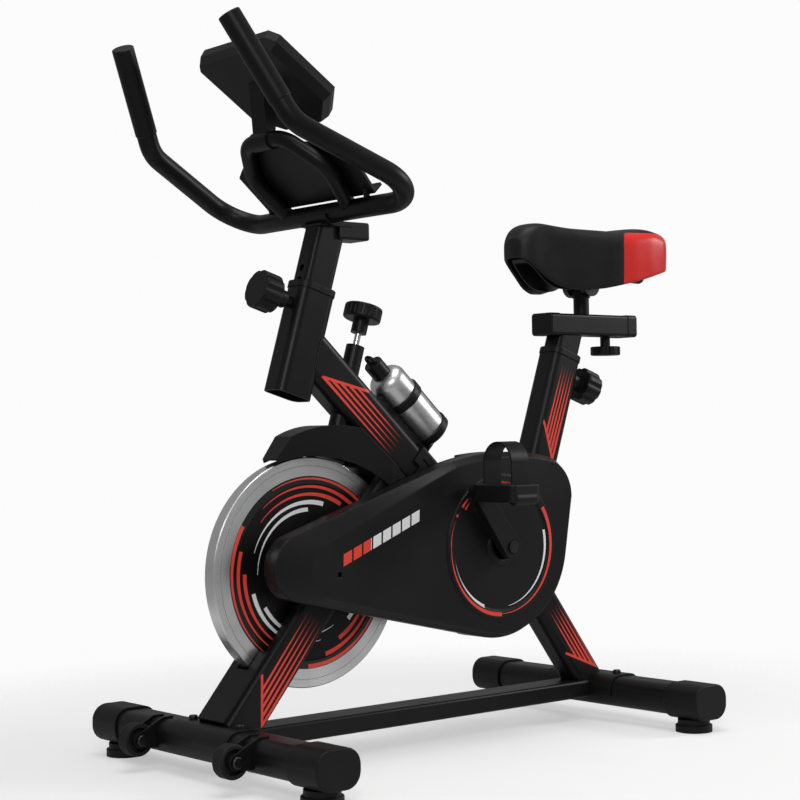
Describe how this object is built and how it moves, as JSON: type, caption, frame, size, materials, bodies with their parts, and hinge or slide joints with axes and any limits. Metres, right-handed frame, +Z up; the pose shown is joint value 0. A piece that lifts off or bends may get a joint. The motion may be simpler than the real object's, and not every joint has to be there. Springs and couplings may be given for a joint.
{
  "type": "indoor spin bike",
  "caption": "Indoor spin bike with a heavy flywheel, belt drive cover, strap pedals, adjustable saddle and handlebar posts, load knob, console and bottle cage.",
  "frame": {"origin": "on the floor, under the middle of the overall box", "axes": "+X forward towards the handlebar, +Y to the rider's left, +Z up"},
  "size_m": [1.0292, 0.604, 1.1274],
  "materials": {
    "black_paint": "satin black powder coat",
    "dark_steel": "black zinc",
    "bright_steel": "turned steel",
    "flywheel_black": "painted black with red and white arcs",
    "black_plastic": "moulded, fine grain",
    "gloss_black": "moulded, smooth",
    "cap_plastic": "moulded, smooth",
    "foam": "soft grip",
    "saddle_cover": "smooth black with red rear panels",
    "belt_rubber": "ribbed belt",
    "wheel_plastic": "moulded wheel",
    "screen": "dark display window",
    "bottle_metal": "brushed",
    "felt": "felt",
    "strap_rubber": "moulded strap"
  },
  "bodies": {
    "frame": {"base_beam": "black_paint", "stabilizers": "black_paint", "stabilizer_end_caps": "cap_plastic", "stabilizer_brackets": "black_paint", "fork_legs": "black_paint", "fork_plates": "black_paint", "upper_beam": "black_paint", "handlebar_sleeve": "black_paint", "post_bushes": "cap_plastic", "seat_tube": "black_paint", "rear_leg": "black_paint", "frame_bosses": "black_paint", "bearings": "bright_steel", "beam_shroud": "black_plastic", "flywheel_guard": "black_plastic", "frame_fasteners": "dark_steel", "belt_cover_outer": "black_plastic", "belt_cover_inner": "black_plastic", "bottle_body": "bottle_metal", "bottle_cage": "black_plastic", "drive_belt": "belt_rubber"},
    "bottle_top": {"bottle_cap": "cap_plastic"},
    "flywheel": {"flywheel_rim": "bright_steel", "flywheel_disc": "flywheel_black", "flywheel_axle": "bright_steel", "small_pulley": "black_plastic"},
    "crank": {"large_pulley": "black_plastic", "crank_axle": "dark_steel", "crank_arms": "black_paint"},
    "left_pedal": {"pedal_left": "black_plastic", "pedal_strap_left": "strap_rubber"},
    "right_pedal": {"pedal_right": "black_plastic", "pedal_strap_right": "strap_rubber"},
    "handlebar_group": {"handlebar_post": "black_paint", "handlebar": "black_paint", "handlebar_grips": "foam", "bar_clamp": "black_paint", "console_bar": "black_paint", "console_case": "gloss_black", "console_screen": "screen", "media_tray": "black_plastic"},
    "button": {"console_button": "cap_plastic"},
    "handlebar_pin": {"handlebar_pin_knob": "gloss_black"},
    "seat_pin": {"seat_pin_knob": "gloss_black"},
    "seat_group": {"seat_post": "black_paint", "slider_tube": "black_paint"},
    "saddle_slider": {"saddle_pillar": "black_paint"},
    "slider_clamp": {"slider_knob": "gloss_black"},
    "saddle_group": {"saddle": "saddle_cover", "saddle_pan": "black_plastic", "saddle_rails": "black_paint"},
    "brake": {"brake_rod": "bright_steel", "brake_pad": "felt"},
    "load_knob": {"resistance_knob": "gloss_black"},
    "wheel_left": {"transport_wheel_left": "wheel_plastic"},
    "wheel_right": {"transport_wheel_right": "wheel_plastic"},
    "foot_fl": {"foot_front_left": "foam"},
    "foot_fr": {"foot_front_right": "foam"},
    "foot_rl": {"foot_rear_left": "foam"},
    "foot_rr": {"foot_rear_right": "foam"}
  },
  "joints": [
    {"name": "crank_spin", "type": "hinge", "parent": "frame", "child": "crank", "pos_m": [-0.08175, 0, 0.323], "axis": [0, 1, 0], "continuous": true},
    {"name": "flywheel_spin", "type": "hinge", "parent": "frame", "child": "flywheel", "pos_m": [0.25625, 0, 0.298], "axis": [0, 1, 0], "continuous": true},
    {"name": "left_pedal_spin", "type": "hinge", "parent": "crank", "child": "left_pedal", "pos_m": [-0.01254, 0.178, 0.41484], "axis": [0, 1, 0], "continuous": true},
    {"name": "right_pedal_spin", "type": "hinge", "parent": "crank", "child": "right_pedal", "pos_m": [-0.15096, -0.178, 0.23116], "axis": [0, 1, 0], "continuous": true},
    {"name": "handlebar_height", "type": "slide", "parent": "frame", "child": "handlebar_group", "axis": [-0.2924, 0, 0.9563], "range_m": [-0.055, 0.05]},
    {"name": "handlebar_pin_pull", "type": "slide", "parent": "frame", "child": "handlebar_pin", "axis": [0.9563, 0, 0.2924], "range_m": [0, 0.006]},
    {"name": "seat_height", "type": "slide", "parent": "frame", "child": "seat_group", "axis": [-0.3256, 0, 0.9455], "range_m": [-0.018, 0.1]},
    {"name": "seat_pin_pull", "type": "slide", "parent": "frame", "child": "seat_pin", "axis": [-0.9455, 0, -0.3256], "range_m": [0, 0.006]},
    {"name": "seat_fore_aft", "type": "slide", "parent": "seat_group", "child": "saddle_slider", "axis": [1, 0, 0], "range_m": [-0.025, 0.045]},
    {"name": "slider_knob_turn", "type": "hinge", "parent": "saddle_slider", "child": "slider_clamp", "pos_m": [-0.43175, 0, 0.66], "axis": [0, 0, 1], "continuous": true},
    {"name": "saddle_tilt", "type": "hinge", "parent": "saddle_slider", "child": "saddle_group", "pos_m": [-0.37175, 0, 0.77], "axis": [0, 1, 0], "range_deg": [-12, 12]},
    {"name": "brake_press", "type": "slide", "parent": "frame", "child": "brake", "axis": [0.2924, 0, -0.9563], "range_m": [0, 0.0027], "stiffness_N_per_m": 4000},
    {"name": "load_knob_turn", "type": "hinge", "parent": "brake", "child": "load_knob", "pos_m": [0.1393, 0, 0.68052], "axis": [-0.2924, 0, 0.9563], "continuous": true},
    {"name": "button_press", "type": "slide", "parent": "handlebar_group", "child": "button", "axis": [0.5519, 0, -0.8339], "range_m": [0, 0.002], "stiffness_N_per_m": 300},
    {"name": "bottle_cap_turn", "type": "hinge", "parent": "frame", "child": "bottle_top", "pos_m": [0.10079, 0, 0.6155], "axis": [0.7314, 0, 0.682], "continuous": true},
    {"name": "left_wheel_spin", "type": "hinge", "parent": "frame", "child": "wheel_left", "pos_m": [0.48925, 0.128, 0.049], "axis": [0, 1, 0], "continuous": true},
    {"name": "right_wheel_spin", "type": "hinge", "parent": "frame", "child": "wheel_right", "pos_m": [0.48925, -0.128, 0.049], "axis": [0, 1, 0], "continuous": true},
    {"name": "foot_turn_fl", "type": "hinge", "parent": "frame", "child": "foot_fl", "pos_m": [0.42725, 0.262, 0.01], "axis": [0, 0, 1], "continuous": true},
    {"name": "foot_turn_fr", "type": "hinge", "parent": "frame", "child": "foot_fr", "pos_m": [0.42725, -0.262, 0.01], "axis": [0, 0, 1], "continuous": true},
    {"name": "foot_turn_rl", "type": "hinge", "parent": "frame", "child": "foot_rl", "pos_m": [-0.38075, 0.238, 0.01], "axis": [0, 0, 1], "continuous": true},
    {"name": "foot_turn_rr", "type": "hinge", "parent": "frame", "child": "foot_rr", "pos_m": [-0.38075, -0.238, 0.01], "axis": [0, 0, 1], "continuous": true}
  ],
  "couplings": [
    {"joint": "flywheel_spin", "follows": "crank_spin", "ratio": 3}
  ]
}
